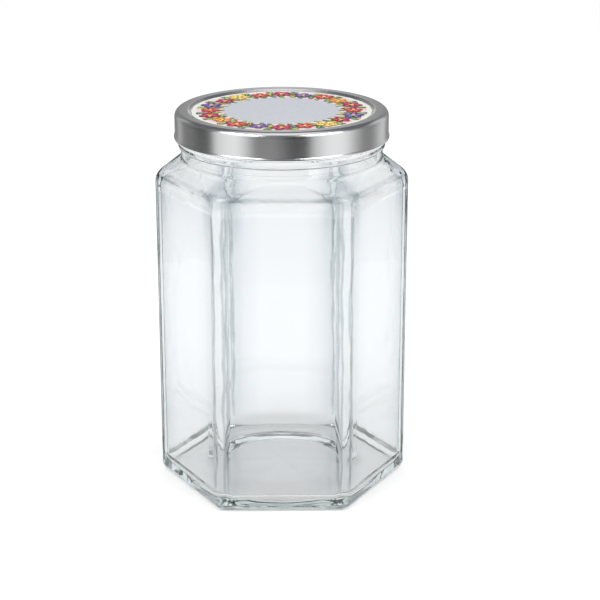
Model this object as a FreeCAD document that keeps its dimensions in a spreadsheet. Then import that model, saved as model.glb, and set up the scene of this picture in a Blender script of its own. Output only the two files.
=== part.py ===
import FreeCAD, Part
import math
import os
import Sketcher

# A hexagonal storage jar of clear glass with a twist-off lid of tinplate.
#
# Frame: millimetres, +Z up, origin at the centre of the underside, on the surface the jar
# stands on. Two flat sides face -Y and +Y, and two of the six corners point along -X and +X.
#
# Sub-parts, each one solid:
#   glass_jar   the moulded glass: six flat sides, a shoulder that turns the hexagon into the
#               round neck, a bead under the lid, an open mouth and a pushed-up base
#   lid         the pressed steel cap: sunk panel, raised rim, skirt, rolled hem and lugs
#   seal_ring   the poured ring of soft compound between the lid and the glass lip

# ---------------------------------------------------------------------------------------
# Driving dimensions
# ---------------------------------------------------------------------------------------

SIZES = [
    # the glass body
    ("across_flats", 118.0, "outer width between opposite flat sides"),
    ("corner_radius", 6.0, "outer radius of the six upright corners"),
    ("jar_height", 203.3, "underside to the top of the glass lip"),
    ("wall", 3.0, "thickness of the flat sides"),
    ("inner_corner_radius", 9.0, "radius of the upright corners inside"),
    ("heel_radius", 4.0, "rounding of the outer bottom edge"),
    ("floor_thickness", 7.0, "standing surface to the glass floor inside"),
    ("floor_radius", 8.0, "rounding between the floor and the sides inside"),
    ("push_up_radius", 46.0, "radius of the round recess in the underside"),
    ("push_up_step", 1.2, "height of the recess at its rim"),
    ("push_up_rise", 1.8, "further height of the recess at its centre"),
    # the shoulder
    ("shoulder_height", 9.6, "drop from the foot of the neck to the edge of the sides"),
    ("shoulder_round", 8.0, "rounding of the edge where shoulder and sides meet"),
    ("neck_root_round", 2.5, "rounding where shoulder and neck meet"),
    ("inner_edge_drop", 2.0, "inner shoulder edge below the outer one"),
    ("inner_root_drop", 1.2, "inner foot of the neck below the outer one"),
    ("inner_shoulder_round", 7.0, "rounding of the inner shoulder edge"),
    ("inner_root_round", 3.0, "rounding of the inner foot of the neck"),
    # the neck and the finish that the lid grips
    ("bore_radius", 49.3, "inside of the mouth"),
    ("lip_width", 3.5, "wall of the glass at the mouth"),
    ("lip_round", 1.3, "rounding of the lip"),
    ("neck_step", 0.3, "neck wider than the lip"),
    ("neck_height", 5.8, "foot of the neck to the underside of the bead"),
    ("parting_step", 0.2, "ledge where the neck ring of the mould meets the body"),
    ("bead_depth", 1.8, "bead stands out from the lip"),
    ("bead_height", 3.2, "height of the bead"),
    ("bead_round", 1.1, "rounding of the bead"),
    ("bead_slope", 1.6, "height of the sloping underside of the bead"),
    ("finish_height", 14.5, "top of the bead to the top of the lip"),
    # the lid
    ("sheet", 0.4, "thickness of the lacquered steel sheet"),
    ("lid_height", 15.0, "height of the lid"),
    ("skirt_gap", 3.1, "room between the glass and the skirt, for the thread"),
    ("rim_round", 2.0, "rounding of the rim of the lid"),
    ("rim_width", 8.2, "raised rim, from the foot of its inner slope to the skirt"),
    ("rim_slope", 1.0, "width of the inner slope of the rim"),
    ("rim_bend", 0.9, "bending radius of the inner slope"),
    ("panel_depth", 1.2, "panel of the lid below its rim"),
    ("hem_radius", 0.95, "rolled hem at the foot of the skirt"),
    ("hem_stand", 0.45, "hem stands out from the skirt"),
    ("lug_count", 8, "lugs that grip under the glass thread"),
    ("lug_width", 9.0, "width of a lug"),
    ("lug_thickness", 1.1, "height of a lug"),
    ("lug_gap", 0.6, "room between a lug and the glass"),
    ("lug_round", 1.0, "rounding of the inner corners of a lug"),
    # the seal
    ("seal_thickness", 1.3, "compound between the lip and the steel"),
    ("seal_gap", 0.35, "room beside the compound"),
]

document = FreeCAD.newDocument("hexagonal_jar")
sheet = document.addObject("Spreadsheet::Sheet", "dims")
for row, (alias, number, meaning) in enumerate(SIZES, start=1):
    sheet.set(f"A{row}", alias)
    sheet.set(f"B{row}", str(number))
    sheet.set(f"C{row}", meaning)
    sheet.setAlias(f"B{row}", alias)
document.recompute()

# ---------------------------------------------------------------------------------------
# Levels and radii that follow from the driving dimensions, as expressions on the sheet
# ---------------------------------------------------------------------------------------

HALF_CORNER = "cos(30 deg)"

half_flats = "(dims.across_flats / 2)"
bead_top = "(dims.jar_height - dims.finish_height)"
bead_bottom = f"({bead_top} - dims.bead_height)"
neck_root = f"({bead_bottom} - dims.neck_height)"
shoulder_edge = f"({neck_root} - dims.shoulder_height)"
lip_radius = "(dims.bore_radius + dims.lip_width)"
neck_radius = f"({lip_radius} + dims.neck_step)"
bead_radius = f"({lip_radius} + dims.bead_depth)"

lid_top = "(dims.jar_height + dims.seal_thickness + dims.sheet)"
lid_bottom = f"({lid_top} - dims.lid_height)"
skirt_radius = f"({lip_radius} + dims.skirt_gap + dims.sheet)"
panel_radius = f"({skirt_radius} - dims.rim_width)"
hem_centre = f"({skirt_radius} + dims.hem_stand - dims.hem_radius)"

# the inside of the pressing turns into its slope this much further out than the outside
inset = "(dims.sheet * tan(atan(dims.panel_depth / dims.rim_slope) / 2))"


def value(expression):
    """Number that an expression on the sheet gives."""
    return float(sheet.evalExpression(str(expression)))


def corner_reach(flats, corner):
    """Distance from the axis to a rounded corner of a hexagon with these half flats."""
    return f"({flats} / {HALF_CORNER} - {corner} * (1 / {HALF_CORNER} - 1))"


# ---------------------------------------------------------------------------------------
# Sketching helpers
# ---------------------------------------------------------------------------------------

ORIGIN_POINT = (-1, 1)
X_AXIS = -1
Y_AXIS = -2
START = 1
END = 2
CENTRE = 3


def new_body(label):
    """Empty body, named after the file it is written to."""
    body = document.addObject("PartDesign::Body", label)
    body.Label = label
    return body


def origin_plane(body, role):
    """One of the body's own origin planes, such as XY_Plane."""
    return next(item for item in body.Origin.OriginFeatures if item.Role == role)


class Drawing:
    """Sketch on one of a body's own origin planes, with its dimensions bound to the sheet."""

    def __init__(self, body, name, role, height=None):
        self.sketch = body.newObject("Sketcher::SketchObject", name)
        self.sketch.AttachmentSupport = (origin_plane(body, role), "")
        self.sketch.MapMode = "FlatFace"
        if height is not None:
            self.sketch.setExpression("AttachmentOffset.Base.z", height)
        self.constraints = []
        self.bindings = {}

    def add(self, geometry, construction=False):
        return self.sketch.addGeometry(geometry, construction)

    def tie(self, kind, *geometry):
        """Constraint without a size, such as Tangent or Equal."""
        self.constraints.append(Sketcher.Constraint(kind, *geometry))

    def fix(self, name, kind, *geometry, to):
        """Named dimension, bound to an expression on the sheet."""
        self.bindings[len(self.constraints)] = (name, to)
        self.constraints.append(Sketcher.Constraint(kind, *geometry, value(to)))

    def place(self, name, geometry, point, x, y):
        """Fix a point's coordinates; one that is zero puts the point on that axis."""
        if x == "0" and y == "0":
            self.tie("Coincident", geometry, point, *ORIGIN_POINT)
            return
        if x == "0":
            self.tie("PointOnObject", geometry, point, Y_AXIS)
        else:
            self.fix(f"{name}_x", "DistanceX", *ORIGIN_POINT, geometry, point, to=x)
        if y == "0":
            self.tie("PointOnObject", geometry, point, X_AXIS)
        else:
            self.fix(f"{name}_y", "DistanceY", *ORIGIN_POINT, geometry, point, to=y)

    def finish(self):
        """Add the constraints all at once, then name and bind the dimensions."""
        self.sketch.addConstraint(self.constraints)
        for index, (name, expression) in self.bindings.items():
            self.sketch.renameConstraint(index, name)
            self.sketch.setExpression(f"Constraints.{name}", expression)
        return self.sketch


def tangent_arc(corner, first, last, radius):
    """Counterclockwise arc from first to last, tangent to the lines that meet in the corner."""
    middle = (first + last) / 2
    inward = (middle - corner).normalize()
    half_chord = (last - first).Length / 2
    centre = middle + inward * math.sqrt(radius**2 - half_chord**2)
    circle = Part.Circle(centre, FreeCAD.Vector(0, 0, 1), radius)
    return Part.ArcOfCircle(circle, circle.parameter(first), circle.parameter(last))


def outline(body, name, role, corners, height=None):
    """Closed outline through corners given as (x, y, rounding), each an expression.

    A corner with a rounding is an arc tangent to both lines, and a construction point
    keeps the place where the two lines would meet.
    """
    drawing = Drawing(body, name, role, height)
    count = len(corners)
    points = [FreeCAD.Vector(value(x), value(y), 0) for x, y, rounding in corners]
    starts = list(points)
    ends = list(points)
    for i, (x, y, rounding) in enumerate(corners):
        if rounding is not None:
            back = (points[i - 1] - points[i]).normalize()
            ahead = (points[(i + 1) % count] - points[i]).normalize()
            setback = value(rounding) / math.tan(back.getAngle(ahead) / 2)
            ends[i] = points[i] + back * setback
            starts[i] = points[i] + ahead * setback
    lines = [drawing.add(Part.LineSegment(starts[i], ends[(i + 1) % count])) for i in range(count)]
    for i, (x, y, rounding) in enumerate(corners):
        name = f"corner{i}"
        before = lines[i - 1]
        after = lines[i]
        if rounding is None:
            drawing.tie("Coincident", before, END, after, START)
            drawing.place(name, after, START, x, y)
            continue
        turn = (points[i] - points[i - 1]).cross(points[(i + 1) % count] - points[i])
        if turn.z > 0:
            arc = drawing.add(tangent_arc(points[i], ends[i], starts[i], value(rounding)))
            first, last = START, END
        else:
            arc = drawing.add(tangent_arc(points[i], starts[i], ends[i], value(rounding)))
            first, last = END, START
        drawing.tie("Tangent", before, END, arc, first)
        drawing.tie("Tangent", arc, last, after, START)
        mark = drawing.add(Part.Point(points[i]), construction=True)
        drawing.tie("PointOnObject", mark, START, before)
        drawing.tie("PointOnObject", mark, START, after)
        drawing.place(name, mark, START, x, y)
        drawing.fix(f"{name}_round", "Radius", arc, to=rounding)
    return drawing.finish()


def hexagon(body, name, flats, corner, height=None):
    """Hexagon with rounded corners: two corners on the X axis, two flats across the Y axis."""
    drawing = Drawing(body, name, "XY_Plane", height)
    centre_reach = f"(({flats} - {corner}) / {HALF_CORNER})"
    reach = value(centre_reach)
    arcs = []
    for i in range(6):
        turn = math.radians(60 * i)
        centre = FreeCAD.Vector(reach * math.cos(turn), reach * math.sin(turn), 0)
        circle = Part.Circle(centre, FreeCAD.Vector(0, 0, 1), value(corner))
        arcs.append(drawing.add(Part.ArcOfCircle(circle, turn - math.pi / 6, turn + math.pi / 6)))
    for here, beyond in zip(arcs, arcs[1:] + arcs[:1]):
        first = drawing.sketch.Geometry[here].EndPoint
        last = drawing.sketch.Geometry[beyond].StartPoint
        side = drawing.add(Part.LineSegment(first, last))
        drawing.tie("Tangent", here, END, side, START)
        drawing.tie("Tangent", side, END, beyond, START)
    for arc in arcs[1:]:
        drawing.tie("Equal", arcs[0], arc)
    drawing.fix("corner", "Radius", arcs[0], to=corner)
    drawing.place("side_corner", arcs[0], CENTRE, centre_reach, "0")
    drawing.place("back_corner", arcs[1], CENTRE, f"{centre_reach} / 2", f"{flats} - {corner}")
    mirrored = ((1, 2, (Y_AXIS,)), (0, 3, ORIGIN_POINT), (1, 4, ORIGIN_POINT), (1, 5, (X_AXIS,)))
    for original, copy, middle in mirrored:
        drawing.tie("Symmetric", arcs[original], CENTRE, arcs[copy], CENTRE, *middle)
    return drawing.finish()


# ---------------------------------------------------------------------------------------
# Feature helpers
# ---------------------------------------------------------------------------------------


def turn_profile(body, kind, name, corners):
    """Solid or cut of revolution about Z, from an outline in the XZ plane."""
    sketch = outline(body, f"{name}_profile", "XZ_Plane", corners)
    feature = body.newObject(f"PartDesign::{kind}", name)
    feature.Profile = sketch
    feature.ReferenceAxis = (sketch, ["V_Axis"])
    feature.Angle = 360
    document.recompute()
    return feature


def lies_at(edge, height):
    """True for an edge that lies flat at this height."""
    level = value(height)
    box = edge.BoundBox
    return abs(box.ZMin - level) < 0.01 and abs(box.ZMax - level) < 0.01


def reaches(edge, radius):
    """True for an edge that starts at this distance from the axis."""
    start = edge.Vertexes[0].Point
    return abs(math.hypot(start.x, start.y) - radius) < 0.01


def edges_where(feature, wanted):
    """Names of the feature's edges that a test picks out."""
    edges = feature.Shape.Edges
    return [f"Edge{i}" for i, edge in enumerate(edges, start=1) if wanted(edge)]


def round_edges(body, name, feature, radius, wanted):
    """Fillet on the edges of a feature that a test picks out."""
    fillet = body.newObject("PartDesign::Fillet", name)
    fillet.Base = (feature, edges_where(feature, wanted))
    fillet.setExpression("Radius", radius)
    document.recompute()
    return fillet


# ---------------------------------------------------------------------------------------
# The shoulder: a loft from the hexagon to the round neck
# ---------------------------------------------------------------------------------------

EDGE_STEPS = 3
SLOPE_STEPS = 4
ROOT_STEPS = 2
LEAD_IN = "2"
LEAD_OUT = "0.8"
NECK_ROUNDNESS = "0.985"


def shoulder_levels(reach, throat, edge, root, edge_round, root_round):
    """Heights of the loft's sections, each with how far it has turned into the round neck.

    Seen in the upright plane through a corner, the shoulder is a straight slope between
    two rounded corners: (reach, edge) below and (throat, root) above. The share turned is
    0 at the sides and 1 at the neck, and the flats follow it too, on a steeper slope.
    """
    run = f"({reach} - {throat})"
    bend = f"(90 deg - atan(({root} - {edge}) / {run}))"
    edge_start = f"({edge} - {edge_round} * tan({bend} / 2))"
    root_end = f"({root} + {root_round} * tan({bend} / 2))"
    levels = [(f"{edge_start} - {LEAD_IN}", "0")]
    for i in range(EDGE_STEPS + 1):
        turn = f"({bend} * {i} / {EDGE_STEPS})"
        height = f"{edge_start} + {edge_round} * sin({turn})"
        levels.append((height, f"({edge_round} * (1 - cos({turn})) / {run})"))
    slope_foot = levels[-1]
    root_levels = []
    for i in range(ROOT_STEPS + 1):
        turn = f"({bend} * (1 - {i} / {ROOT_STEPS}))"
        height = f"{root_end} - {root_round} * sin({turn})"
        root_levels.append((height, f"(1 - {root_round} * (1 - cos({turn})) / {run})"))
    slope_head = root_levels[0]
    for i in range(1, SLOPE_STEPS):
        levels.append(tuple(between(slope_foot[k], slope_head[k], i, SLOPE_STEPS) for k in (0, 1)))
    levels += root_levels
    levels.append((f"{root_end} + {LEAD_OUT}", "1"))
    return levels


def between(low, high, step, steps):
    """Expression for a point on the straight way from low to high."""
    return f"(({low}) + (({high}) - ({low})) * {step} / {steps})"


def loft_shoulder(body, kind, name, flats, corner, throat, levels):
    """Loft through rounded hexagons that grow round as they rise."""
    sections = []
    for i, (height, turned) in enumerate(levels):
        section_flats = f"({flats} - ({flats} - {throat}) * {turned})"
        section_corner = f"({corner} + ({throat} * {NECK_ROUNDNESS} - {corner}) * {turned})"
        section = hexagon(body, f"{name}_section{i}", section_flats, section_corner, height)
        sections.append(section)
    loft = body.newObject(f"PartDesign::{kind}", name)
    loft.Profile = sections[0]
    loft.Sections = sections[1:]
    document.recompute()
    return loft


# ---------------------------------------------------------------------------------------
# Glass jar: blown in a two-part body mould, with the neck in a ring of its own
# ---------------------------------------------------------------------------------------


def make_glass_jar():
    body = new_body("glass_jar")
    outer_reach = corner_reach(half_flats, "dims.corner_radius")
    outer_levels = shoulder_levels(outer_reach, neck_radius, shoulder_edge, neck_root,
                                   "dims.shoulder_round", "dims.neck_root_round")
    shoulder_foot = outer_levels[0][0]
    parting_line = outer_levels[-1][0]

    sides = body.newObject("PartDesign::Pad", "sides")
    sides.Profile = hexagon(body, "sides_outline", half_flats, "dims.corner_radius")
    sides.setExpression("Length", shoulder_foot)
    document.recompute()
    round_edges(body, "heel", sides, "dims.heel_radius", lambda edge: lies_at(edge, "0"))

    loft_shoulder(body, "AdditiveLoft", "shoulder", half_flats, "dims.corner_radius",
                  neck_radius, outer_levels)

    neck_ring = f"({neck_radius} + dims.parting_step)"
    turn_profile(body, "Revolution", "finish", [
        ("0", parting_line, None),
        (neck_ring, parting_line, None),
        (neck_ring, f"{bead_bottom} - dims.bead_slope", "dims.bead_round"),
        (bead_radius, bead_bottom, "dims.bead_round"),
        (bead_radius, bead_top, "dims.bead_round"),
        (lip_radius, bead_top, None),
        (lip_radius, "dims.jar_height", "dims.lip_round"),
        ("0", "dims.jar_height", None),
    ])

    # inside: straight sides up to the shoulder, then the same turn into the bore
    flats = f"({half_flats} - dims.wall)"
    inner_edge = f"({shoulder_edge} - dims.inner_edge_drop)"
    inner_root = f"({neck_root} - dims.inner_root_drop)"
    inner_reach = corner_reach(flats, "dims.inner_corner_radius")
    inner_levels = shoulder_levels(inner_reach, "dims.bore_radius", inner_edge, inner_root,
                                   "dims.inner_shoulder_round", "dims.inner_root_round")
    loft_shoulder(body, "SubtractiveLoft", "inner_shoulder", flats, "dims.inner_corner_radius",
                  "dims.bore_radius", inner_levels)

    chamber = body.newObject("PartDesign::Pocket", "chamber")
    chamber.Profile = hexagon(body, "chamber_outline", flats, "dims.inner_corner_radius",
                              "dims.floor_thickness")
    chamber.Reversed = True
    chamber.setExpression("Length", f"{inner_levels[0][0]} - dims.floor_thickness")
    document.recompute()
    round_edges(body, "floor_edge", chamber, "dims.floor_radius",
                lambda edge: lies_at(edge, "dims.floor_thickness"))

    bore = turn_profile(body, "Groove", "bore", [
        ("0", inner_levels[-1][0], None),
        ("dims.bore_radius", inner_levels[-1][0], None),
        ("dims.bore_radius", "dims.jar_height", None),
        ("0", "dims.jar_height", None),
    ])
    mouth_edge = value("dims.bore_radius")
    round_edges(body, "mouth", bore, "dims.lip_round",
                lambda edge: lies_at(edge, "dims.jar_height") and reaches(edge, mouth_edge))

    # underside: a round push-up, so that the jar stands on a flat ring
    turn_profile(body, "Groove", "push_up", [
        ("0", "0", None),
        ("dims.push_up_radius", "0", None),
        ("dims.push_up_radius - dims.push_up_step", "dims.push_up_step", "dims.push_up_step"),
        ("0", "dims.push_up_step + dims.push_up_rise", None),
    ])


# ---------------------------------------------------------------------------------------
# Lid: pressed from one disc of tinplate, its foot rolled into a hem and pinched into lugs
# ---------------------------------------------------------------------------------------


def make_lid():
    body = new_body("lid")
    hem_level = f"({lid_bottom} + dims.hem_radius)"
    panel_level = f"({lid_top} - dims.panel_depth)"
    turn_profile(body, "Revolution", "pressing", [
        # the outside, from the foot of the skirt to the centre of the panel
        (skirt_radius, hem_level, None),
        (skirt_radius, lid_top, "dims.rim_round"),
        (f"{panel_radius} + dims.rim_slope", lid_top, "dims.rim_bend"),
        (panel_radius, panel_level, "dims.rim_bend"),
        ("0", panel_level, None),
        # the inside, one sheet deeper, back to the foot of the skirt
        ("0", f"{panel_level} - dims.sheet", None),
        (f"{panel_radius} + {inset}", f"{panel_level} - dims.sheet", "dims.rim_bend + dims.sheet"),
        (f"{panel_radius} + dims.rim_slope + {inset}", f"{lid_top} - dims.sheet",
         "dims.rim_bend - dims.sheet"),
        (f"{skirt_radius} - dims.sheet", f"{lid_top} - dims.sheet", "dims.rim_round - dims.sheet"),
        (f"{skirt_radius} - dims.sheet", hem_level, None),
    ])

    hem = body.newObject("PartDesign::AdditiveTorus", "hem")
    hem.setExpression("Radius1", hem_centre)
    hem.setExpression("Radius2", "dims.hem_radius")
    hem.setExpression("AttachmentOffset.Base.z", hem_level)
    hem.AttachmentSupport = (origin_plane(body, "XY_Plane"), "")
    hem.MapMode = "FlatFace"
    document.recompute()

    tip = f"({lip_radius} + dims.lug_gap)"
    half_width = "(dims.lug_width / 2)"
    lug_outline = outline(body, "lug_outline", "XY_Plane", [
        (tip, f"-{half_width}", "dims.lug_round"),
        (hem_centre, f"-{half_width}", None),
        (hem_centre, half_width, None),
        (tip, half_width, "dims.lug_round"),
    ], f"{hem_level} - dims.lug_thickness / 2")
    lug = body.newObject("PartDesign::Pad", "lug")
    lug.Profile = lug_outline
    lug.setExpression("Length", "dims.lug_thickness")
    document.recompute()

    lugs = body.newObject("PartDesign::PolarPattern", "lugs")
    lugs.Originals = [lug]
    lugs.Axis = (lug_outline, ["N_Axis"])
    lugs.Angle = 360
    lugs.setExpression("Occurrences", "dims.lug_count")
    body.Tip = lugs
    document.recompute()


# ---------------------------------------------------------------------------------------
# Seal: soft compound poured into the rim of the lid, pressed on the glass lip
# ---------------------------------------------------------------------------------------


def make_seal_ring():
    body = new_body("seal_ring")
    inside = f"({panel_radius} + dims.rim_slope + {inset} + dims.seal_gap)"
    outside = f"({skirt_radius} - dims.rim_round - dims.seal_gap / 4)"
    top = f"({lid_top} - dims.sheet)"
    turn_profile(body, "Revolution", "compound", [
        (inside, "dims.jar_height", "dims.seal_gap"),
        (outside, "dims.jar_height", "dims.seal_gap"),
        (outside, top, None),
        (inside, top, None),
    ])


# ---------------------------------------------------------------------------------------
# Build, check and write the sub-parts
# ---------------------------------------------------------------------------------------

SUB_PARTS = {
    "glass_jar": make_glass_jar,
    "lid": make_lid,
    "seal_ring": make_seal_ring,
}

for make in SUB_PARTS.values():
    make()
document.recompute()

for item in document.Objects:
    if "Invalid" in item.State or "Error" in item.State:
        raise RuntimeError(f"{item.Name} failed: {item.State}")

os.makedirs("parts", exist_ok=True)
for label in SUB_PARTS:
    shape = document.getObject(label).Shape
    if shape.isNull() or not shape.isValid() or len(shape.Solids) != 1:
        raise RuntimeError(f"{label} is not one valid solid")
    shape.exportStep(f"parts/{label}.step")
    print(f"{label}: {shape.Volume / 1000:.2f} cm3, {len(shape.Faces)} faces")
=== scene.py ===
import math

import bmesh
import bpy
from mathutils import Matrix, Vector


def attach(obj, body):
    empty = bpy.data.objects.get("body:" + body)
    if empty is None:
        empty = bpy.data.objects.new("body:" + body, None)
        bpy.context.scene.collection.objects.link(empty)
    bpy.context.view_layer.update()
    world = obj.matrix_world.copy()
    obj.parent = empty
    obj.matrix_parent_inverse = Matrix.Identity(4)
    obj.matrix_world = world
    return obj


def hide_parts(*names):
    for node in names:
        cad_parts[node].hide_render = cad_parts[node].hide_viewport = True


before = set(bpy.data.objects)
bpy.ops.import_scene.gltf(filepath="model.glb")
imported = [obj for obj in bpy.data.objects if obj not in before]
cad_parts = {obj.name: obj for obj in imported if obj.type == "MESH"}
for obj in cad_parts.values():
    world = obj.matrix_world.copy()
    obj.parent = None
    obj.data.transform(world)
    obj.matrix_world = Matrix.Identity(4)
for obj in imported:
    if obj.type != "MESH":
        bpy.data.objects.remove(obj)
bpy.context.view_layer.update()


# ------------------------------------------------------------ the glass jar
# An empty six-sided jar of clear soda glass, blown in a mould as one closed wall:
# up the outside from the push-up, over the sealing lip and down to the floor inside.

MM = 0.001
SIXTH = math.radians(60)
COS_30 = math.cos(math.radians(30))


def open_piece(name):
    """A new piece with nothing in it yet, open in edit mode."""
    bpy.ops.object.select_all(action="DESELECT")
    bpy.ops.mesh.primitive_circle_add(vertices=3)
    piece = bpy.context.object
    piece.name = piece.data.name = name
    bpy.ops.object.mode_set(mode="EDIT")
    bpy.ops.mesh.delete(type="VERT")
    return piece


def pick_points(piece, wanted):
    """Selects the points of the open piece that are wanted, and no others."""
    mesh = bmesh.from_edit_mesh(piece.data)
    for number, point in enumerate(mesh.verts):
        point.select = wanted(number, point)
    mesh.select_flush_mode()
    bmesh.update_edit_mesh(piece.data)


def add_ring(piece, columns, number, flats, corner, height):
    """One level section, six-sided with round corners: a circle of the corner's
    radius whose sixths are moved out to the hexagon's corners, joined to the last ring."""
    bpy.ops.mesh.select_all(action="DESELECT")
    bpy.ops.mesh.primitive_circle_add(
        vertices=columns,
        radius=corner * MM,
        location=(0, 0, height * MM),
        rotation=(0, 0, math.pi / columns),
    )
    first = number * columns
    reach = (flats - corner) / COS_30 * MM
    if reach > 1e-7:
        mesh = bmesh.from_edit_mesh(piece.data)
        mesh.verts.index_update()
        ring = [point for point in mesh.verts if point.select]
        sixths = {point.index: round(math.atan2(point.co.y, point.co.x) / SIXTH) % 6 for point in ring}
        for sixth in range(6):
            pick_points(piece, lambda index, point: sixths.get(index) == sixth)
            way = sixth * SIXTH
            bpy.ops.transform.translate(value=(reach * math.cos(way), reach * math.sin(way), 0))
    if number:
        pick_points(piece, lambda index, point: index >= first - columns)
        bpy.ops.mesh.bridge_edge_loops()


def close_ring(piece, start, columns):
    """Closes the ring whose points start at that number with a shallow fan."""
    pick_points(piece, lambda index, point: start <= index < start + columns)
    bpy.ops.mesh.edge_face_add()
    bpy.ops.mesh.poke()


def face_outwards():
    """Turns all faces of the open piece outwards and closes the edit."""
    bpy.ops.mesh.select_all(action="SELECT")
    bpy.ops.mesh.normals_make_consistent(inside=False)
    bpy.ops.object.mode_set(mode="OBJECT")


def stack_rings(name, columns, sections, open_end=False):
    """A piece built ring by ring from (flats, corner, height) in millimetres, its ends closed
    with fans, or its last ring left open."""
    piece = open_piece(name)
    for number, (flats, corner, height) in enumerate(sections):
        add_ring(piece, columns, number, flats, corner, height)
    if not open_end:
        close_ring(piece, (len(sections) - 1) * columns, columns)
    close_ring(piece, 0, columns)
    face_outwards()
    return piece


def rounded(corners, finest=6):
    """The points of a bent line whose corners (across, up, rounding) are rounded."""
    line = []
    for place, (across, up, rounding) in enumerate(corners):
        here = Vector((across, up))
        if not rounding or place in (0, len(corners) - 1):
            line.append(here)
            continue
        back = (Vector(corners[place - 1][:2]) - here).normalized()
        on = (Vector(corners[place + 1][:2]) - here).normalized()
        half = back.angle(on) / 2
        centre = here + (back + on).normalized() * rounding / math.sin(half)
        start = here + back * rounding / math.tan(half)
        swing = math.pi - 2 * half
        side = 1 if back.cross(on) < 0 else -1
        steps = max(2, round(finest * swing / math.radians(90)))
        for step in range(steps + 1):
            turn = Matrix.Rotation(side * swing * step / steps, 2)
            line.append(centre + turn @ (start - centre))
    return line


def copy_of(piece, move):
    """A copy of a piece with its own mesh, moved in its mesh."""
    copy = piece.copy()
    copy.data = piece.data.copy()
    bpy.context.scene.collection.objects.link(copy)
    copy.data.transform(move)
    return copy


def ring_of(piece, number):
    """The piece and its copies, spaced evenly round the jar's axis."""
    turns = (Matrix.Rotation(2 * math.pi * step / number, 4, "Z") for step in range(1, number))
    return [piece] + [copy_of(piece, turn) for turn in turns]


def join_pieces(pieces):
    """Joins the pieces into the first of them."""
    bpy.ops.object.select_all(action="DESELECT")
    for piece in pieces:
        piece.select_set(True)
    bpy.context.view_layer.objects.active = pieces[0]
    bpy.ops.object.join()


def finish_piece(piece, material):
    """Smooth shading with true flats, the material, and the body it rides on."""
    bpy.ops.object.select_all(action="DESELECT")
    piece.select_set(True)
    bpy.context.view_layer.objects.active = piece
    bpy.ops.object.shade_smooth()
    flats = piece.modifiers.new("true_flats", "WEIGHTED_NORMAL")
    flats.weight = 80
    bpy.ops.object.modifier_apply(modifier=flats.name)
    piece.data.materials.clear()
    piece.data.materials.append(material)
    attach(piece, "root")


# Half the width across the flats and the corner's radius, outside and inside.
OUT_FLATS, OUT_CORNER = 59.0, 6.0
IN_FLATS, IN_CORNER = 56.0, 9.0
GLASS_COLUMNS = 120
# The base: its outer rounding, the floor's height, and the rounding from wall to floor.
HEEL, FLOOR, FLOOR_ROUND, POOL_CORNER = 4.0, 4.8, 6.5, 12.0
HEEL_STEPS, FLOOR_STEPS = 8, 14
# Radii from the mouth outwards, and the height of the sealing lip.
BORE, LIP, NECK, NECK_RING, BEAD = 49.3, 52.8, 53.1, 53.3, 54.6
JAR_TOP = 203.3
# Where the shoulder leaves the wall and where it meets the neck, and the roundings there.
OUT_EDGE, OUT_ROOT, OUT_EDGE_ROUND, OUT_ROOT_ROUND = 170.2, 179.8, 8, 2.5
IN_EDGE, IN_ROOT, IN_EDGE_ROUND, IN_ROOT_ROUND = 168.2, 178.6, 7, 3
SHOULDER_STEP = 1.2


def hexagon_reach(flats, corner):
    """How far the round corners of a section stand from the jar's axis."""
    return (flats - corner) / COS_30 + corner


def on_the_way(share, flats, corner, neck):
    """A section on the way from the six-sided body (0) to the round neck (1)."""
    return flats + (neck - flats) * share, corner + (neck - corner) * share


def shoulder(flats, corner, neck, edge, root, edge_round, root_round):
    """The sections of a shoulder, from the body's upper edge to the root of the neck."""
    reach = hexagon_reach(flats, corner)
    bends = [
        (reach, edge - 20, 0),
        (reach, edge, edge_round),
        (neck, root, root_round),
        (neck, root + 6, 0),
    ]
    slope = rounded(bends, 12)[1:-1]
    line = []
    for low, high in zip(slope, slope[1:]):
        parts = max(1, round((high - low).length / SHOULDER_STEP))
        line += [low.lerp(high, part / parts) for part in range(parts)]
    line.append(slope[-1])
    shares = [(reach - point.x) / (reach - neck) for point in line]
    return [(*on_the_way(share, flats, corner, neck), point.y) for share, point in zip(shares, line)]


# The push-up under the base and the rise of the floor inside, by radius.
push_up = [
    (2, 3.35), (14, 3.34), (24, 3.3), (29, 3.2), (31.5, 2.98), (34, 2.5), (37, 1.62), (40, 0.78),
    (42, 0.38), (44.5, 0.14), (46.5, 0.07), (48.5, 0.03),
]
floor_line = [(40, 4.9), (32, 5.25), (24, 5.65), (15, 5.95), (7, 6.08), (2, 6.1)]
sections = [(radius, radius, height) for radius, height in push_up]
for step in range(HEEL_STEPS + 1):
    turn = math.radians(90) * step / HEEL_STEPS
    inset = HEEL * (1 - math.sin(turn))
    sections.append((OUT_FLATS - inset, OUT_CORNER - inset, HEEL * (1 - math.cos(turn))))
sections += [(OUT_FLATS, OUT_CORNER, height) for height in (12, 30, 60, 90, 120, 150, 161)]
sections += shoulder(OUT_FLATS, OUT_CORNER, NECK, OUT_EDGE, OUT_ROOT, OUT_EDGE_ROUND, OUT_ROOT_ROUND)
finish_line = rounded(
    [
        (NECK, 181.5, 0),
        (NECK, 182.0, 0.12),
        (NECK_RING, 182.1, 0.12),
        (NECK_RING, 185.3, 0.6),
        (BEAD, 185.9, 0.9),
        (BEAD, 188.6, 0.9),
        (LIP, 190.2, 0.8),
        (LIP, JAR_TOP, 1.3),
        (BORE, JAR_TOP - 0.05, 1.3),
        (BORE, 182, 0),
    ]
)
sections += [(point.x, point.x, point.y) for point in finish_line]
inner_shoulder = shoulder(IN_FLATS, IN_CORNER, BORE, IN_EDGE, IN_ROOT, IN_EDGE_ROUND, IN_ROOT_ROUND)
sections += reversed(inner_shoulder)
sections += [(IN_FLATS, IN_CORNER, height) for height in (159, 150, 120, 90, 60, 36)]
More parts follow.
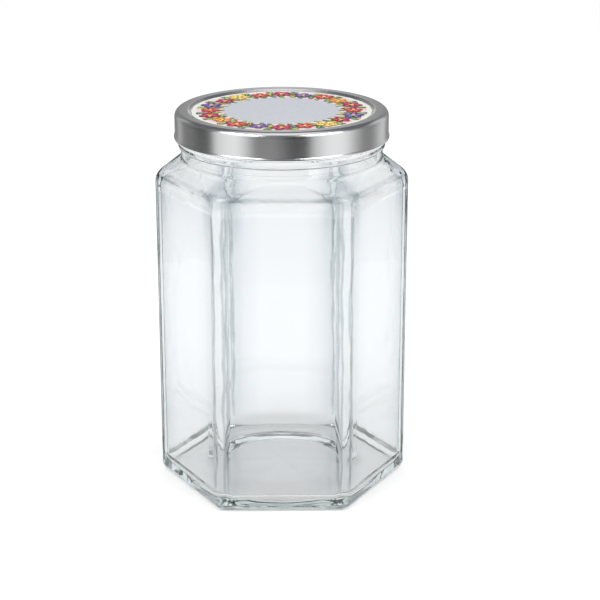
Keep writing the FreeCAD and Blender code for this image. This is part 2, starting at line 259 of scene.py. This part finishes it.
for step in range(FLOOR_STEPS + 1):
    turn = math.radians(90) * step / FLOOR_STEPS
    rolled = 1 - math.cos(turn)
    height = FLOOR + FLOOR_ROUND * (1 - math.sin(turn))
    sections.append((IN_FLATS - FLOOR_ROUND * rolled, IN_CORNER + POOL_CORNER * rolled, height))
sections += [(radius, radius, height) for radius, height in floor_line]

glass_jar = stack_rings("clear_glass_jar", GLASS_COLUMNS, sections)

# Under the lid the neck carries eight short ridges that the lid's lugs grip.
RIDGES, RIDGE_SECTIONS, RIDGE_POINTS = 8, 13, 12
RIDGE_SPAN, RIDGE_UP, RIDGE_PROUD, RIDGE_TIP = math.radians(33), 195.2, 0.75, 0.3
ridge = open_piece("ridge")
for number in range(RIDGE_SECTIONS):
    share = number / (RIDGE_SECTIONS - 1)
    way = RIDGE_SPAN * (share - 0.5)
    thick = (RIDGE_TIP + (RIDGE_PROUD - RIDGE_TIP) * math.sin(math.pi * share) ** 0.5) * MM
    spot = (LIP * MM * math.cos(way), LIP * MM * math.sin(way), RIDGE_UP * MM)
    bpy.ops.mesh.select_all(action="DESELECT")
    bpy.ops.mesh.primitive_circle_add(
        vertices=RIDGE_POINTS, radius=thick, location=spot, rotation=(math.radians(90), 0, way)
    )
    if number:
        pick_points(ridge, lambda index, point: index >= (number - 1) * RIDGE_POINTS)
        bpy.ops.mesh.bridge_edge_loops()
for start in ((RIDGE_SECTIONS - 1) * RIDGE_POINTS, 0):
    close_ring(ridge, start, RIDGE_POINTS)
face_outwards()
join_pieces(ring_of(ridge, RIDGES))
bpy.ops.object.select_all(action="DESELECT")
bpy.context.view_layer.objects.active = glass_jar
melt = glass_jar.modifiers.new("ridges", "BOOLEAN")
melt.operation = "UNION"
melt.object = ridge
bpy.ops.object.modifier_apply(modifier=melt.name)
bpy.data.objects.remove(ridge)


def new_material(name):
    """A material with an empty node tree and its output node."""
    material = bpy.data.materials.new(name)
    material.use_nodes = True
    tree = material.node_tree
    tree.nodes.clear()
    return material, tree, tree.nodes.new("ShaderNodeOutputMaterial")


def feed(tree, socket, term):
    """Gives a socket a fixed value, or links the output of another node to it."""
    if isinstance(term, bpy.types.NodeSocket):
        tree.links.new(term, socket)
    else:
        socket.default_value = term


def add_node(tree, kind, values=None, **settings):
    """A node with its settings, and the values or links of its sockets."""
    node = tree.nodes.new("ShaderNode" + kind)
    for name, value in settings.items():
        setattr(node, name, value)
    for name, term in (values or {}).items():
        feed(tree, node.inputs[name], term)
    return node


def maths(tree, operation, first, second=0.0):
    """The output of a Math node; its terms are numbers or outputs of other nodes."""
    return add_node(tree, "Math", {0: first, 1: second}, operation=operation).outputs[0]


def add_ramp(tree, value, stops, start=0.0, end=1.0):
    """A colour ramp over a value between start and end; its stops are (place, colour or grey)."""
    spread = maths(tree, "DIVIDE", maths(tree, "SUBTRACT", value, start), end - start)
    node = add_node(tree, "ValToRGB", {"Fac": spread})
    ramp = node.color_ramp
    for number, (place, colour) in enumerate(stops):
        stop = ramp.elements[number] if number < 2 else ramp.elements.new((place - start) / (end - start))
        stop.position = (place - start) / (end - start)
        stop.color = (*colour, 1) if isinstance(colour, tuple) else (colour, colour, colour, 1)
    return node.outputs["Color"]


def add_share(tree, value, stops, start, end):
    """A share from 0 to 1 that follows a value, through a ramp of greys."""
    return add_node(tree, "RGBToBW", {0: add_ramp(tree, value, stops, start, end)}).outputs[0]


def blend_colours(tree, first, second, amount=1.0, how="MULTIPLY"):
    """The second colour laid over the first, by an amount."""
    node = add_node(tree, "Mix", data_type="RGBA", blend_type=how)
    sockets = {socket.identifier: socket for socket in node.inputs}
    for name, term in (("Factor_Float", amount), ("A_Color", first), ("B_Color", second)):
        feed(tree, sockets[name], term)
    return next(socket for socket in node.outputs if socket.identifier == "Result_Color")


# Painted shade beside each corner, by millimetres outwards from it: a painted dark line, a painted soft
# shade, then the clear wall.
CORNER_SHADES = [
    (0, (0.90, 0.92, 0.925)), (2.1, (0.95, 0.965, 0.97)), (2.8, (0.40, 0.45, 0.46)),
    (3.3, (0.42, 0.47, 0.48)), (4.1, (0.80, 0.83, 0.84)), (7, (0.86, 0.88, 0.895)),
    (12, (0.925, 0.94, 0.952)), (22, (0.972, 0.978, 0.986)),
]
# A painted dark line where the wall folds into the shoulder, and a painted soft shaded band above it.
FOLD_SHADES = [
    (0.160, 1.0), (0.1688, 1.0), (0.1700, (0.34, 0.39, 0.40)), (0.1711, 1.0), (0.1720, 1.0),
    (0.1732, (0.91, 0.92, 0.925)), (0.1750, (0.91, 0.92, 0.925)), (0.1764, 1.0),
]
# Painted shade beside the corners, at the top of the wall and in the shoulder.
CROWN_SHADES = [
    (0, 1.0), (3.0, 0.98), (5.5, (0.78, 0.81, 0.82)), (9, (0.88, 0.90, 0.905)), (14, 1.0)
]
SHOULDER_SHADES = [(0, (0.83, 0.86, 0.88)), (5, (0.85, 0.88, 0.90)), (9, (0.975, 0.983, 0.988)), (13, 1.0)]
# A painted dark rim where the glass is seen edge on.
RIM_SHADES = [(0.0, 1.0), (0.58, 1.0), (0.76, (0.74, 0.78, 0.80)), (0.92, (0.40, 0.43, 0.44))]
CLEAR_TINT = (0.985, 0.99, 0.994, 1)
GLASS_GREEN, GREEN_DENSITY = (0.74, 0.83, 0.83, 1), 11.0
# The waves of the wall, the upright ripples, and how far they shift the shades, in millimetres.
WAVE_SCALE, WAVE_DEPTH, RIPPLE_STRETCH = 26.0, 0.0014, (220, 220, 45)
WOBBLE, DRIFT = 3.6, 10.0
FOLD_WANDER, CROWN_WANDER = 0.0006, 1.5
SHOULDER_SWELL, CORNER_RIPPLE, SHOULDER_RIPPLE = 5.0, 0.22, 0.10

clear_glass, tree, output = new_material("clear_soda_glass")
place = add_node(tree, "TexCoord").outputs["Object"]
waves = add_node(
    tree, "TexNoise", {"Vector": place, "Scale": WAVE_SCALE, "Detail": 1.5, "Roughness": 0.4}
).outputs["Fac"]
upright = add_node(tree, "Mapping", {"Vector": place, "Scale": RIPPLE_STRETCH}).outputs["Vector"]
ripples = add_node(tree, "TexNoise", {"Vector": upright, "Scale": 1.0, "Detail": 2.0}).outputs["Fac"]
across, along, up = add_node(tree, "SeparateXYZ", {0: place}).outputs
# Millimetres from the nearest corner, told from the bearing round the axis.
sixths = maths(tree, "DIVIDE", maths(tree, "ARCTAN2", along, across), SIXTH)
from_corner = maths(tree, "SUBTRACT", maths(tree, "FRACT", maths(tree, "ADD", sixths, 3.5)), 0.5)
sixth_long = SIXTH * hexagon_reach(OUT_FLATS, OUT_CORNER)
beside = maths(tree, "MULTIPLY", maths(tree, "ABSOLUTE", from_corner), sixth_long)
wobble = maths(tree, "MULTIPLY", maths(tree, "SUBTRACT", ripples, 0.5), WOBBLE)
beside = maths(tree, "ADD", beside, wobble)

body_share = add_share(tree, up, [(0.004, 0.0), (0.016, 1.0), (0.160, 1.0), (0.174, 0.0)], 0, 0.2)
# The corners' painted dark line and painted shade, laid into the glass tint on the body's wall only.
corner_shade = add_ramp(tree, beside, CORNER_SHADES, 0, 24)
glass_tint_and_painted_shade = blend_colours(tree, CLEAR_TINT, corner_shade, body_share)

# The painted dark line and shaded band at the fold, strongest some way beside the corners.
fold_share = add_share(
    tree, beside, [(0, 0.35), (4, 0.6), (8, 1.0), (14, 0.75), (20, 0.45), (30, 0.4)], 0, 35
)
fold_up = maths(tree, "ADD", up, maths(tree, "MULTIPLY", wobble, FOLD_WANDER))
glass_tint_and_painted_shade = blend_colours(tree, glass_tint_and_painted_shade, add_ramp(tree, fold_up, FOLD_SHADES, 0.15, 0.19), fold_share)

# Painted shade beside the corners at the top of the wall.
crown_share = add_share(tree, up, [(0.140, 0.0), (0.163, 0.9), (0.1705, 1.0), (0.176, 0.0)], 0.13, 0.18)
crown_beside = maths(tree, "ADD", beside, maths(tree, "MULTIPLY", wobble, CROWN_WANDER))
glass_tint_and_painted_shade = blend_colours(tree, glass_tint_and_painted_shade, add_ramp(tree, crown_beside, CROWN_SHADES, 0, 24), crown_share)

# Painted shade beside the corners in the shoulder, drifting with the waves.
shoulder_share = add_share(tree, up, [(0.162, 0.0), (0.169, 1.0), (0.178, 1.0), (0.186, 0.0)], 0.15, 0.2)
drift = maths(tree, "MULTIPLY", maths(tree, "SUBTRACT", waves, 0.5), DRIFT)
shoulder_shade = add_ramp(tree, maths(tree, "ADD", beside, drift), SHOULDER_SHADES, 0, 30)
glass_tint_and_painted_shade = blend_colours(tree, glass_tint_and_painted_shade, shoulder_shade, shoulder_share)

# Painted dark rim, darker the more edge on the glass is seen.
edge_on = add_node(tree, "LayerWeight", {"Blend": 0.5}).outputs["Facing"]
glass_tint_and_painted_shade = blend_colours(tree, glass_tint_and_painted_shade, add_ramp(tree, edge_on, RIM_SHADES))

# The wall swells gently all over, more in the shoulder, and ripples along its corners.
edge_share = add_share(tree, beside, [(0, 1.0), (5, 1.0), (9, 0.0)], 0, 24)
swell_share = maths(tree, "ADD", 1.0, maths(tree, "MULTIPLY", shoulder_share, SHOULDER_SWELL))
swell = maths(tree, "MULTIPLY", waves, swell_share)
ripple_share = maths(tree, "MULTIPLY", edge_share, maths(tree, "MULTIPLY", body_share, CORNER_RIPPLE))
ripple_share = maths(tree, "ADD", ripple_share, maths(tree, "MULTIPLY", shoulder_share, SHOULDER_RIPPLE))
swell = maths(tree, "ADD", swell, maths(tree, "MULTIPLY", ripples, ripple_share))
wavy = add_node(tree, "Bump", {"Strength": 0.5, "Distance": WAVE_DEPTH, "Height": swell})
glass = add_node(
    tree,
    "BsdfPrincipled",
    {
        "Base Color": glass_tint_and_painted_shade,
        "Metallic": 0.0,
        "Roughness": 0.0,
        "IOR": 1.5,
        "Normal": wavy.outputs["Normal"],
        "Transmission Weight": 1.0,
    },
)
green = add_node(tree, "VolumeAbsorption", {"Color": GLASS_GREEN, "Density": GREEN_DENSITY})
tree.links.new(glass.outputs["BSDF"], output.inputs["Surface"])
tree.links.new(green.outputs["Volume"], output.inputs["Volume"])

finish_piece(glass_jar, clear_glass)
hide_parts("glass_jar")


# ------------------------------------------------------------ the lid
# A twist-off lid of satin tinplate, pressed from one sheet, with a raised rim
# round a flat panel and an edge rolled into a round hem.

LID_COLUMNS, SHEET = 160, 0.4
PANEL, CREST, DISH = 203.8, 205.0, 0.05
lid_line = rounded(
    [
        (1.5, PANEL - DISH, 0),
        (48.1, PANEL, 0.9),
        (49.1, CREST - 0.04, 0.9),
        (56.3, CREST, 3.2),
        (56.3, 192.1, 0.8),
        (56.75, 191.5, 0.5),
        (56.75, 190.0, 0.94),
        (54.9, 190.02, 0.85),
        (54.9, 191.7, 0.6),
        (55.8, 191.75, 0),
    ],
    8,
)
panel_rings = [Vector((radius, PANEL - DISH + radius * 0.001)) for radius in (12, 24, 36, 46)]
lid_line[1:1] = panel_rings
lid = stack_rings(
    "tinplate_lid", LID_COLUMNS, [(point.x, point.x, point.y) for point in lid_line], open_end=True
)
bpy.context.view_layer.objects.active = lid
thickness = lid.modifiers.new("sheet", "SOLIDIFY")
thickness.thickness = SHEET * MM
thickness.offset = -1
bpy.ops.object.modifier_apply(modifier=thickness.name)

# The lid holds by eight lugs, pressed inwards from the hem.
LUGS = 8
LUG_ROOT, LUG_TIP, LUG_WIDE, LUG_THICK, LUG_UP = 55.2, 53.4, 9.0, 1.1, 191.05
bpy.ops.object.select_all(action="DESELECT")
bpy.ops.mesh.primitive_cube_add(
    size=MM,
    location=((LUG_ROOT + LUG_TIP) / 2 * MM, 0, LUG_UP * MM),
    scale=(LUG_ROOT - LUG_TIP, LUG_WIDE, LUG_THICK),
)
lug = bpy.context.object
bpy.ops.object.transform_apply(location=True, rotation=True, scale=True)
bpy.ops.object.mode_set(mode="EDIT")
pick_points(lug, lambda index, point: point.co.x < (LUG_TIP + 0.1) * MM)
bpy.ops.transform.resize(value=(1, 0.72, 0.7), center_override=(LUG_TIP * MM, 0, LUG_UP * MM))
bpy.ops.mesh.select_all(action="SELECT")
bpy.ops.mesh.bevel(offset=0.3 * MM, segments=3)
bpy.ops.object.mode_set(mode="OBJECT")
join_pieces([lid] + ring_of(lug, LUGS))


def build_grain():
    """Fine grain in metal, ink or compound: stretched noise, and the same between two levels."""
    group = bpy.data.node_groups.new("fine_grain", "ShaderNodeTree")
    sockets = (
        ("Place", "INPUT", "NodeSocketVector"),
        ("Stretch", "INPUT", "NodeSocketVector"),
        ("Detail", "INPUT", "NodeSocketFloat"),
        ("Low", "INPUT", "NodeSocketFloat"),
        ("High", "INPUT", "NodeSocketFloat"),
        ("Grain", "OUTPUT", "NodeSocketFloat"),
        ("Level", "OUTPUT", "NodeSocketFloat"),
    )
    for name, side, socket in sockets:
        group.interface.new_socket(name=name, in_out=side, socket_type=socket)
    given = group.nodes.new("NodeGroupInput").outputs
    drawn = add_node(group, "Mapping", {"Vector": given["Place"], "Scale": given["Stretch"]})
    noise = add_node(
        group, "TexNoise", {"Vector": drawn.outputs["Vector"], "Scale": 1.0, "Detail": given["Detail"]}
    ).outputs["Fac"]
    level = add_node(
        group, "MapRange", {"Value": noise, "To Min": given["Low"], "To Max": given["High"]}
    )
    made = group.nodes.new("NodeGroupOutput").inputs
    group.links.new(noise, made["Grain"])
    group.links.new(level.outputs["Result"], made["Level"])
    return group


fine_grain = build_grain()


def add_grain(tree, stretch, detail, low=0.0, high=1.0):
    """The fine grain with its own stretch, detail and levels."""
    place = add_node(tree, "TexCoord").outputs["Object"]
    values = {"Place": place, "Stretch": stretch, "Detail": detail, "Low": low, "High": high}
    return add_node(tree, "Group", values, node_tree=fine_grain).outputs


TIN_DARK, TIN_LIGHT = (0.74, 0.745, 0.76), (0.79, 0.79, 0.79)
TIN_SMOOTH, TIN_SATIN = 0.19, 0.25
ROLLED = (360, 360, 5400)

tinplate, tree, output = new_material("satin_tinplate")
grain = add_grain(tree, ROLLED, 4.0, TIN_SMOOTH, TIN_SATIN)
metal = add_node(
    tree,
    "BsdfPrincipled",
    {
        "Base Color": add_ramp(tree, grain["Grain"], [(0.0, TIN_DARK), (1.0, TIN_LIGHT)]),
        "Metallic": 1.0,
        "Roughness": grain["Level"],
    },
)
tree.links.new(metal.outputs["BSDF"], output.inputs["Surface"])

finish_piece(lid, tinplate)
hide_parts("lid")


# ------------------------------------------------------------ the print on the lid
# A garland of plain blossoms, leaves and buds in bright inks on a pale ground,
# printed and varnished on the flat panel. The middle is a flat grey disc, a painted reflection in place of
# bare metal.

INK_DARK = (0.055, 0.03, 0.045, 1)
LAYER = 0.02
OVAL_POINTS = 28


def motif(name, stamps):
    """A printed motif made of flat ovals: (x, y, wide, long, turn in degrees, ink, layer)."""
    piece = open_piece(name)
    for x, y, wide, long, turn, ink, layer in stamps:
        bpy.ops.mesh.select_all(action="DESELECT")
        bpy.ops.mesh.primitive_circle_add(vertices=OVAL_POINTS, radius=MM / 2, fill_type="NGON")
        bpy.ops.transform.resize(value=(wide, long, 1), center_override=(0, 0, 0))
        bpy.ops.transform.rotate(value=-math.radians(turn), orient_axis="Z", center_override=(0, 0, 0))
        bpy.ops.transform.translate(value=(x * MM, y * MM, layer * LAYER * MM))
        mesh = bmesh.from_edit_mesh(piece.data)
        inks = mesh.loops.layers.float_color.get("ink") or mesh.loops.layers.float_color.new("ink")
        for face in mesh.faces:
            if face.select:
                for loop in face.loops:
                    loop[inks] = ink
        bmesh.update_edit_mesh(piece.data)
    bpy.ops.object.mode_set(mode="OBJECT")
    return piece


PETALS, PETAL_OUT = 5, 2.75
EYE_YELLOW = (0.95, 0.66, 0.08, 1)


def blossom(name, ink, light):
    """Five round petals with a dark edge, a lighter heart and a yellow eye."""
    stamps = []
    for petal in range(PETALS):
        turn = 360 / PETALS * petal
        x, y = -PETAL_OUT * math.sin(math.radians(turn)), PETAL_OUT * math.cos(math.radians(turn))
        stamps.append((x, y, 4.2, 5.0, turn, INK_DARK, 1))
        stamps.append((x, y, 3.7, 4.5, turn, ink, 2))
        stamps.append((x * 0.8, y * 0.8, 1.5, 2.6, turn, light, 3))
    stamps.append((0, 0, 2.6, 2.6, 0, INK_DARK, 4))
    stamps.append((0, 0, 2.1, 2.1, 0, EYE_YELLOW, 5))
    return motif(name, stamps)


def leaf(name, ink, light):
    """A leaf with a dark edge and a lighter vein."""
    return motif(
        name,
        [
            (0, 0, 3.6, 7.6, 0, INK_DARK, 1),
            (0, 0, 3.1, 7.0, 0, ink, 2),
            (0, 0, 0.5, 5.4, 0, light, 3),
        ],
    )


def bud(name, ink, light):
    """A round bud with a lit spot."""
    return motif(
        name,
        [
            (0, 0, 3.0, 3.0, 0, INK_DARK, 1),
            (0, 0, 2.5, 2.5, 0, ink, 2),
            (-0.4, 0.4, 0.8, 0.8, 0, light, 3),
        ],
    )


blossoms = [
    blossom("blossom_red", (0.62, 0.025, 0.035, 1), (0.85, 0.2, 0.2, 1)),
    blossom("blossom_orange", (0.88, 0.27, 0.02, 1), (0.98, 0.55, 0.15, 1)),
    blossom("blossom_raspberry", (0.42, 0.015, 0.07, 1), (0.75, 0.12, 0.25, 1)),
    blossom("blossom_yellow", (0.93, 0.60, 0.04, 1), (0.99, 0.85, 0.35, 1)),
    blossom("blossom_violet", (0.13, 0.06, 0.30, 1), (0.35, 0.25, 0.60, 1)),
]
leaves = [
    leaf("leaf_green", (0.07, 0.26, 0.05, 1), (0.35, 0.6, 0.2, 1)),
    leaf("leaf_light", (0.20, 0.42, 0.08, 1), (0.55, 0.75, 0.3, 1)),
]
buds = [
    bud("bud_blue", (0.05, 0.11, 0.36, 1), (0.45, 0.6, 0.9, 1)),
    bud("bud_red", (0.55, 0.02, 0.03, 1), (0.95, 0.5, 0.45, 1)),
    bud("bud_yellow", (0.90, 0.50, 0.03, 1), (1.0, 0.85, 0.4, 1)),
]

GROUND_UP, PRINT_UP = PANEL + 0.005, PANEL + 0.03
# The middle's grey is a painted reflection: flat ink standing in for bare tinplate.
CREAM, BLUSH, PAINTED_BARE_METAL_GREY = (0.80, 0.80, 0.76, 1), (0.80, 0.64, 0.63, 1), (0.535, 0.555, 0.60, 1)
printed = [
    motif(
        "lid_print",
        [
            (0, 0, 95.2, 95.2, 0, CREAM, 0),
            (0, 0, 89.6, 89.6, 0, BLUSH, 0.5),
            (0, 0, 62.0, 62.0, 0, PAINTED_BARE_METAL_GREY, 1),
        ],
    )
]
printed[0].data.transform(Matrix.Translation((0, 0, GROUND_UP * MM)))


def press(shape, bearing, radius, turn, size=1.0, layer=0):
    """Prints a copy of a motif at a bearing and radius on the panel."""
    way = math.radians(bearing)
    spot = Vector((radius * math.cos(way), radius * math.sin(way), PRINT_UP + layer * LAYER)) * MM
    turned = Matrix.Rotation(way + math.radians(turn), 4, "Z")
    move = Matrix.Translation(spot) @ turned @ Matrix.Diagonal((size, size, 1, 1))
    printed.append(copy_of(shape, move))


# The garland's middle radius, its places, and which blossom stands at each.
GARLAND, PLACES = 38.2, 20
ORDER = (0, 2, 1, 0, 4, 2, 0, 3, 2, 4)
for number in range(PLACES):
    bearing = 360 * number / PLACES
    half = 180 / PLACES
    odd = number % 2
    press(leaves[odd], bearing + half, GARLAND + 3.6, 58)
    press(leaves[1 - odd], bearing + half, GARLAND - 3.2, 118, 0.95)
    press(leaves[odd], bearing, GARLAND - 6.0, -62, 0.7)
    press(buds[number % 3], bearing + half, GARLAND + 0.2, 0, 1.05, 5)
    press(buds[(number + 1) % 3], bearing + half * 0.75, GARLAND - 5.9, 0, 0.8, 5)
    press(buds[(number + 2) % 3], bearing + half * 1.1, GARLAND + 6.0, 0, 0.75, 5)
    flower = blossoms[ORDER[number % len(ORDER)]]
    press(flower, bearing, GARLAND + (0.9 if odd else -0.6), number * 31, 1.0 + 0.12 * odd, 8)
for shape in blossoms + leaves + buds:
    bpy.data.objects.remove(shape)
join_pieces(printed)
lid_print = printed[0]

INK_THIN, INK_FULL = 0.86, 1.1

ink_paint, tree, output = new_material("printed_inks")
colour = add_node(tree, "Attribute", attribute_name="ink").outputs["Color"]
fleck = add_grain(tree, (700, 700, 700), 3.0, INK_THIN, INK_FULL)
inked = add_node(tree, "VectorMath", {0: colour, "Scale": fleck["Level"]}, operation="SCALE")
varnish = add_node(
    tree,
    "BsdfPrincipled",
    {
        "Base Color": inked.outputs[0],
        "Roughness": 0.5,
        "Specular IOR Level": 0.3,
        "Coat Weight": 0.08,
        "Coat Roughness": 0.25,
    },
)
tree.links.new(varnish.outputs["BSDF"], output.inputs["Surface"])
lid_print.data.materials.clear()
lid_print.data.materials.append(ink_paint)
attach(lid_print, "root")


# ------------------------------------------------------------ the seal ring
# A ring of soft, flesh-coloured compound, flowed into the channel of the rim
# and cured there, which the lip of the glass presses on.

SEAL_DARK, SEAL_LIGHT = (0.70, 0.62, 0.55), (0.80, 0.72, 0.65)

compound, tree, output = new_material("seal_compound")
mottle = add_grain(tree, (900, 900, 900), 3.0)
soft = add_node(
    tree,
    "BsdfPrincipled",
    {
        "Base Color": add_ramp(tree, mottle["Grain"], [(0.0, SEAL_DARK), (1.0, SEAL_LIGHT)]),
        "Roughness": 0.5,
    },
)
tree.links.new(soft.outputs["BSDF"], output.inputs["Surface"])
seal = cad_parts["seal_ring"]
seal.data.materials.clear()
seal.data.materials.append(compound)


# ------------------------------------------------------------ floor, light and camera
# A pale floor and a white surround, which glass and metal show as the camera does,
# two soft lamps, and a banded cloth screen that only metal and glass mirror.

FLOOR_RADIUS, FLOOR_DROP = 6.0, 0.0002
bpy.ops.object.select_all(action="DESELECT")
bpy.ops.mesh.primitive_circle_add(
    vertices=96, radius=FLOOR_RADIUS, fill_type="NGON", location=(0, 0, -FLOOR_DROP)
)
floor = bpy.context.object
floor.name = "pale_floor"

# Light that has turned this often inside the glass fades to the deep level.
FADE_FROM, FADE_TO, DEEP_LEVEL = 6.0, 14.0, 0.15


def add_surround_level(tree, plain):
    """White where the camera, metal and glass look, a plain level for the light on the object,
    and dimmer for light that has wandered far inside the glass."""
    paths = add_node(tree, "LightPath").outputs
    shown = maths(tree, "MAXIMUM", paths["Is Camera Ray"], paths["Is Glossy Ray"])
    shown = maths(tree, "MAXIMUM", shown, paths["Is Transmission Ray"])
    wander = add_node(
        tree,
        "MapRange",
        {
            "Value": paths["Ray Depth"],
            "From Min": FADE_FROM,
            "From Max": FADE_TO,
            "To Min": 1.0,
            "To Max": DEEP_LEVEL,
        },
    ).outputs["Result"]
    level = add_node(tree, "MapRange", {"Value": shown, "To Min": plain, "To Max": wander})
    return level.outputs["Result"], shown, paths


# The floor's own light and its paint, seen plainly, and how each changes through glass.
FLOOR_GLOW, GLOW_THROUGH = 0.30, 0.17
FLOOR_PAINT, PAINT_THROUGH = 0.86, 0.32

floor_paint, tree, output = new_material("pale_floor_paint")
level, shown, paths = add_surround_level(tree, 0.0)
through = paths["Is Transmission Ray"]
own_light = maths(tree, "ADD", FLOOR_GLOW, maths(tree, "MULTIPLY", through, GLOW_THROUGH))
held = maths(tree, "SUBTRACT", FLOOR_PAINT, maths(tree, "MULTIPLY", through, PAINT_THROUGH))
faded = maths(tree, "MAXIMUM", level, maths(tree, "SUBTRACT", 1.0, shown))
held = maths(tree, "MULTIPLY", held, faded)
paint = add_node(tree, "BsdfDiffuse", {"Color": held})
glow = add_node(tree, "Emission", {"Strength": maths(tree, "MULTIPLY", own_light, level)})
both = add_node(tree, "AddShader", {0: paint.outputs[0], 1: glow.outputs[0]})
tree.links.new(both.outputs[0], output.inputs["Surface"])
floor.data.materials.append(floor_paint)

WHITE = (1, 1, 1, 1)
# The level that lights the object, and the dark ceiling, full in metal and faint in glass.
ROOM_LEVEL, CEILING, CEILING_THROUGH = 0.72, (0.12, 0.125, 0.14), 0.13
# Light counts as seen straight through the glass up to this many turns.
STRAIGHT_DEPTH = 4.5
world = bpy.data.worlds.new("studio")
bpy.context.scene.world = world
world.use_nodes = True
tree = world.node_tree
tree.nodes.clear()
level, shown, paths = add_surround_level(tree, ROOM_LEVEL)
up = add_node(tree, "SeparateXYZ", {0: add_node(tree, "TexCoord").outputs["Generated"]}).outputs["Z"]
ceiling = add_ramp(tree, up, [(0.34, 1.0), (0.5, CEILING), (0.86, CEILING), (0.95, 1.0)])
straight = maths(tree, "LESS_THAN", paths["Ray Depth"], STRAIGHT_DEPTH)
in_glass = maths(tree, "MULTIPLY", paths["Is Transmission Ray"], straight)
in_glass = maths(tree, "MULTIPLY", in_glass, CEILING_THROUGH)
ceiling_share = maths(tree, "ADD", paths["Is Glossy Ray"], in_glass)
tone = blend_colours(tree, WHITE, ceiling, ceiling_share, "MIX")
sky = add_node(tree, "Background", {"Color": tone, "Strength": level})
add_node(tree, "OutputWorld", {"Surface": sky.outputs[0]})

SCREEN_RADIUS, SCREEN_HEIGHT = 0.44, 0.46
bpy.ops.object.select_all(action="DESELECT")
bpy.ops.mesh.primitive_circle_add(vertices=96, radius=SCREEN_RADIUS)
screen = bpy.context.object
screen.name = "studio_screen"
bpy.ops.object.mode_set(mode="EDIT")
bpy.ops.mesh.select_all(action="SELECT")
bpy.ops.mesh.extrude_region_move(TRANSFORM_OT_translate={"value": (0, 0, SCREEN_HEIGHT)})
bpy.ops.object.mode_set(mode="OBJECT")
bpy.ops.object.shade_smooth()

# The greys of the cloth by bearing in degrees, from the rear by the left, the front and the right.
CLOTH_GREYS = [
    (-180, 1.0), (-141, 0.75), (-122, 0.22), (-104, 0.17), (-92, 0.08), (-77, 0.06), (-69, 0.80),
    (-46, 1.0), (-36, 0.70), (-26, 0.17), (-10, 0.24), (2, 0.13), (10, 0.02), (25, 0.02), (32, 0.60),
    (48, 1.0), (66, 0.95), (80, 0.48), (92, 0.22), (106, 0.24), (122, 0.60), (150, 0.9), (180, 1.0),
]
# The rear is darker in the metal, and the foot fades to white.
REAR_GREYS = [(0, 1.0), (132, 1.0), (144, 0.27), (170, 0.33), (180, 0.62)]
FOOT_FADE = [(0.0, 1.0), (0.055, 0.0)]
MIRROR_DEPTH = 1.5

screen_cloth, tree, output = new_material("screen_cloth")
place = add_node(tree, "TexCoord").outputs["Object"]
across, along, up = add_node(tree, "SeparateXYZ", {0: place}).outputs
bearing = maths(tree, "ARCTAN2", across, maths(tree, "MULTIPLY", along, -1))
bearing = maths(tree, "DEGREES", bearing)
bands = add_ramp(tree, bearing, CLOTH_GREYS, -180, 180)
lit = blend_colours(tree, bands, WHITE, add_ramp(tree, up, FOOT_FADE, 0, SCREEN_HEIGHT), "MIX")
paths = add_node(tree, "LightPath").outputs
rear = add_ramp(tree, maths(tree, "ABSOLUTE", bearing), REAR_GREYS, 0, 180)
first_mirror = maths(tree, "LESS_THAN", paths["Ray Depth"], MIRROR_DEPTH)
first_mirror = maths(tree, "MULTIPLY", paths["Is Glossy Ray"], first_mirror)
shine = blend_colours(tree, lit, rear, first_mirror)
cloth = add_node(tree, "Emission", {"Color": shine, "Strength": 1.0})
open_air = add_node(tree, "BsdfTransparent")
straight = maths(tree, "LESS_THAN", paths["Ray Depth"], STRAIGHT_DEPTH)
through = maths(tree, "MULTIPLY", straight, paths["Is Transmission Ray"])
hung = add_node(tree, "MixShader", {"Fac": through, 1: cloth.outputs[0], 2: open_air.outputs[0]})
tree.links.new(hung.outputs[0], output.inputs["Surface"])
screen.data.materials.append(screen_cloth)
screen.visible_camera = False
screen.visible_diffuse = False
screen.visible_shadow = False

LAMP_SIZE, LAMP_WATTS, LAMP_ASIDE = 0.9, 9.0, 0.9
AIM = Vector((0, 0, 0.1))
for name, side in (("soft_box_left", -LAMP_ASIDE), ("soft_box_right", LAMP_ASIDE)):
    lamp = bpy.data.objects.new(name, bpy.data.lights.new(name, "AREA"))
    lamp.data.size = LAMP_SIZE
    lamp.data.energy = LAMP_WATTS
    lamp.location = (side, -0.7, 1.1)
    lamp.rotation_euler = (AIM - lamp.location).to_track_quat("-Z", "Y").to_euler()
    bpy.context.scene.collection.objects.link(lamp)

LOOK_DOWN, LOOK_RIGHT = math.radians(18.8), math.radians(0.588)
camera = bpy.data.objects.new("camera", bpy.data.cameras.new("camera"))
bpy.context.scene.collection.objects.link(camera)
camera.data.sensor_width = 36
camera.data.lens = 109.4
camera.location = (0, -0.938, 0.418)
camera.rotation_euler = (math.radians(90) - LOOK_DOWN, 0, -LOOK_RIGHT)
bpy.context.scene.camera = camera
bpy.context.scene.view_settings.view_transform = "Standard"
# Light needs this many turns to get out of the thick base again.
bounces = bpy.context.scene.cycles
bounces.max_bounces, bounces.glossy_bounces, bounces.transmission_bounces = 28, 20, 24
